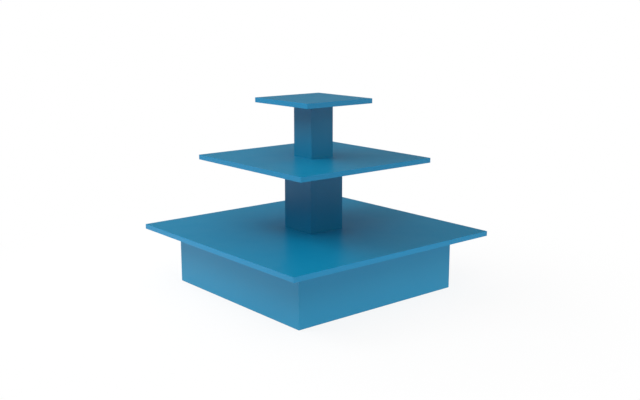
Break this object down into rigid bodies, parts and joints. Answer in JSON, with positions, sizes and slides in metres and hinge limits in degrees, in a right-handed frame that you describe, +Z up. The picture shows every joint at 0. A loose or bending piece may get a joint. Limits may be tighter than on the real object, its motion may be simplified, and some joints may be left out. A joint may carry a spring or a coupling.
{
  "type": "tiered display table",
  "caption": "Square tiered display table: stepped board shelves on hollow box columns over a wide plinth with screw levellers.",
  "frame": {"origin": "on the floor, under the centre of the table", "axes": "+Z up; -Y is the front; X and Y run along the square tiers' edges"},
  "size_m": [0.9144, 0.9144, 0.7112],
  "materials": {
    "blue_board": "satin",
    "edge_strip": "satin",
    "raw_board": "matte",
    "pine": "matte",
    "zinc_steel": "satin",
    "nylon": "satin"
  },
  "bodies": {
    "table": {"batten_screws": "zinc_steel", "bottom_tier_board": "blue_board", "bottom_tier_edge_back": "edge_strip", "bottom_tier_edge_front": "edge_strip", "bottom_tier_edge_left": "edge_strip", "bottom_tier_edge_right": "edge_strip", "bottom_tier_screws": "zinc_steel", "centre_pad": "blue_board", "centre_pad_screws": "zinc_steel", "corner_block_back_left": "pine", "corner_block_back_right": "pine", "corner_block_front_left": "pine", "corner_block_front_right": "pine", "corner_block_screws": "zinc_steel", "leveller_tee_nuts": "zinc_steel", "lower_column_foot_plug": "raw_board", "lower_column_head_plug": "raw_board", "lower_column_panel_back": "blue_board", "lower_column_panel_front": "blue_board", "lower_column_panel_left": "blue_board", "lower_column_panel_right": "blue_board", "middle_tier_board": "blue_board", "middle_tier_edge_back": "edge_strip", "middle_tier_edge_front": "edge_strip", "middle_tier_edge_left": "edge_strip", "middle_tier_edge_right": "edge_strip", "plinth_panel_back": "blue_board", "plinth_panel_front": "blue_board", "plinth_panel_left": "blue_board", "plinth_panel_right": "blue_board", "plug_screws": "zinc_steel", "support_rail_left": "blue_board", "support_rail_right": "blue_board", "tie_rod": "zinc_steel", "tie_rod_nut": "zinc_steel", "tie_rod_tee_nut": "zinc_steel", "tie_rod_washer": "zinc_steel", "top_batten_back": "pine", "top_batten_front": "pine", "top_batten_left": "pine", "top_batten_right": "pine", "top_tier_board": "blue_board", "top_tier_edge_back": "edge_strip", "top_tier_edge_front": "edge_strip", "top_tier_edge_left": "edge_strip", "top_tier_edge_right": "edge_strip", "upper_column_foot_plug": "raw_board", "upper_column_head_plug": "raw_board", "upper_column_panel_back": "blue_board", "upper_column_panel_front": "blue_board", "upper_column_panel_left": "blue_board", "upper_column_panel_right": "blue_board"},
    "pad_front_left": {"leveller_pad_front_left": "nylon"},
    "stem_front_left": {"leveller_stem_front_left": "zinc_steel"},
    "pad_front_right": {"leveller_pad_front_right": "nylon"},
    "stem_front_right": {"leveller_stem_front_right": "zinc_steel"},
    "pad_back_right": {"leveller_pad_back_right": "nylon"},
    "stem_back_right": {"leveller_stem_back_right": "zinc_steel"},
    "pad_back_left": {"leveller_pad_back_left": "nylon"},
    "stem_back_left": {"leveller_stem_back_left": "zinc_steel"}
  },
  "joints": [
    {"name": "leveller_height_front_left", "type": "slide", "parent": "table", "child": "pad_front_left", "axis": [0, 0, 1], "range_m": [-0.015, 0]},
    {"name": "leveller_screw_front_left", "type": "hinge", "parent": "pad_front_left", "child": "stem_front_left", "pos_m": [-0.32145, -0.32145, 0.012], "axis": [0, 0, 1], "range_deg": [-4320, 0]},
    {"name": "leveller_height_front_right", "type": "slide", "parent": "table", "child": "pad_front_right", "axis": [0, 0, 1], "range_m": [-0.015, 0]},
    {"name": "leveller_screw_front_right", "type": "hinge", "parent": "pad_front_right", "child": "stem_front_right", "pos_m": [0.32145, -0.32145, 0.012], "axis": [0, 0, 1], "range_deg": [-4320, 0]},
    {"name": "leveller_height_back_right", "type": "slide", "parent": "table", "child": "pad_back_right", "axis": [0, 0, 1], "range_m": [-0.015, 0]},
    {"name": "leveller_screw_back_right", "type": "hinge", "parent": "pad_back_right", "child": "stem_back_right", "pos_m": [0.32145, 0.32145, 0.012], "axis": [0, 0, 1], "range_deg": [-4320, 0]},
    {"name": "leveller_height_back_left", "type": "slide", "parent": "table", "child": "pad_back_left", "axis": [0, 0, 1], "range_m": [-0.015, 0]},
    {"name": "leveller_screw_back_left", "type": "hinge", "parent": "pad_back_left", "child": "stem_back_left", "pos_m": [-0.32145, 0.32145, 0.012], "axis": [0, 0, 1], "range_deg": [-4320, 0]}
  ],
  "couplings": [
    {"joint": "leveller_screw_front_left", "follows": "leveller_height_front_left", "rad_per_m": 5026.5},
    {"joint": "leveller_screw_front_right", "follows": "leveller_height_front_right", "rad_per_m": 5026.5},
    {"joint": "leveller_screw_back_right", "follows": "leveller_height_back_right", "rad_per_m": 5026.5},
    {"joint": "leveller_screw_back_left", "follows": "leveller_height_back_left", "rad_per_m": 5026.5}
  ]
}
